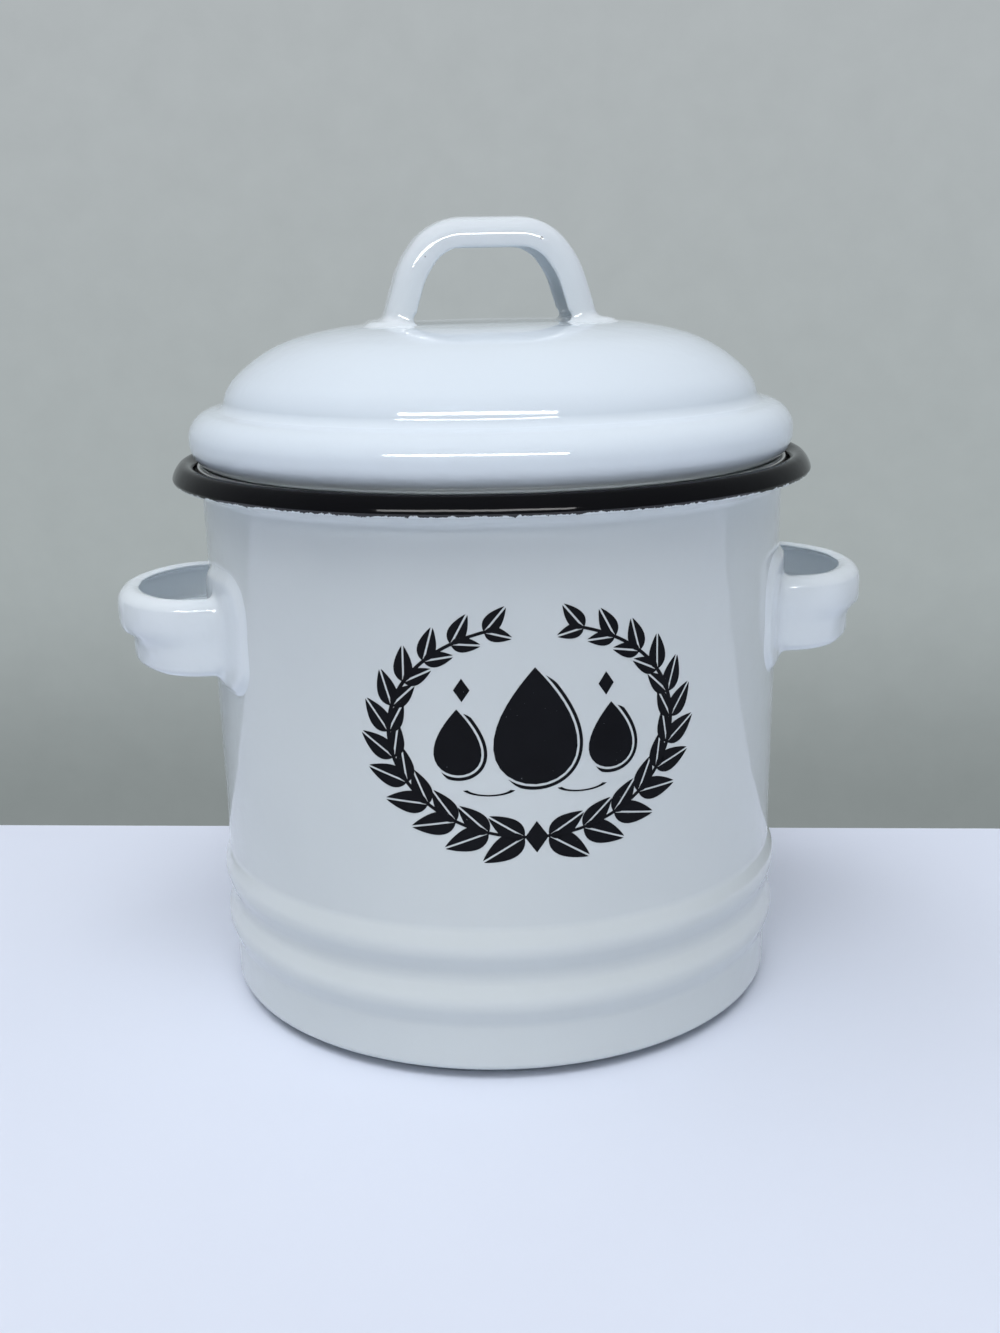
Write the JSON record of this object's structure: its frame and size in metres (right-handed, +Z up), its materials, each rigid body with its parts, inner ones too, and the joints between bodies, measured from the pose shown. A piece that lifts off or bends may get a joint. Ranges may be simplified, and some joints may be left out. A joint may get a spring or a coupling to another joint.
{
  "type": "kitchen grease container",
  "caption": "Enamelled steel grease container with rolled rim, two strap handles, lift-off domed lid with arch handle and a drop-in strainer.",
  "frame": {"origin": "middle of the underside, on the surface that it stands on", "axes": "+Z up; +X towards the right side handle; -Y towards the decorated front"},
  "size_m": [0.1578, 0.1314, 0.1587],
  "materials": {
    "pot_enamel": "glossy white vitreous enamel on steel, rolled rim in black enamel",
    "lid_enamel": "glossy white vitreous enamel on steel",
    "handle_enamel": "thick glossy white vitreous enamel, pooled at the feet",
    "stainless_steel": "satin stainless steel, circular brushing"
  },
  "bodies": {
    "root": {"pot_body": "pot_enamel", "left_handle": "handle_enamel", "right_handle": "handle_enamel"},
    "strainer": {"strainer_cup": "stainless_steel", "strainer_screen": "stainless_steel", "screen_ring": "stainless_steel"},
    "lid": {"lid_shell": "lid_enamel", "lid_handle": "handle_enamel"}
  },
  "joints": [
    {"name": "strainer_lift", "type": "slide", "parent": "root", "child": "strainer", "axis": [0, 0, 1], "range_m": [0, 0.045]},
    {"name": "lid_lift", "type": "slide", "parent": "strainer", "child": "lid", "axis": [0, 0, 1], "range_m": [0, 0.04]}
  ]
}
